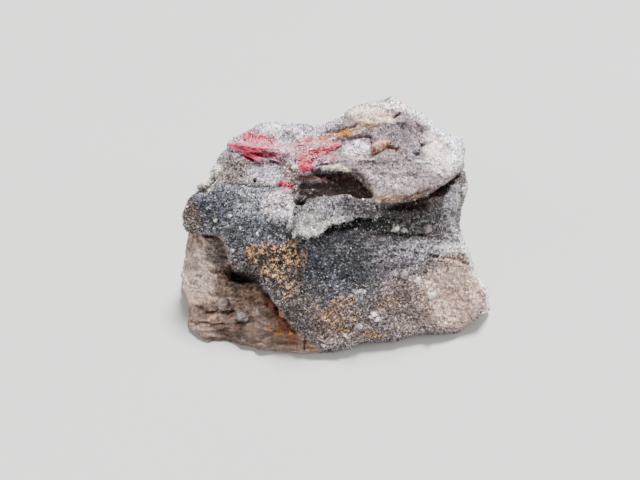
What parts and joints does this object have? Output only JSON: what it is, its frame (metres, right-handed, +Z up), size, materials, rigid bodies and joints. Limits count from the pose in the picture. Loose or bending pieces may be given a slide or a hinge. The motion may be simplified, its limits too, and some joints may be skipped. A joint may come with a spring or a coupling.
{
  "type": "erythrite on quartz specimen",
  "caption": "Small wedge of drusy vein quartz with a white overhanging lump, a jagged plate and pink fans of erythrite needles.",
  "frame": {"origin": "middle of the specimen's bounding box, on the broken flat base it rests on", "axes": "+X to the right as seen from the show face, +Y away from the viewer into the stone, +Z up from the base"},
  "size_m": [0.0438, 0.0308, 0.0227],
  "materials": {
    "quartz": "massive and drusy milky quartz, grey, white and iron-stained",
    "erythrite": "vitreous pink-red needles"
  },
  "bodies": {
    "root": {"quartz_matrix": "quartz", "erythrite_spray_left": "erythrite", "erythrite_spray_right": "erythrite", "erythrite_rosette": "erythrite"}
  },
  "joints": []
}
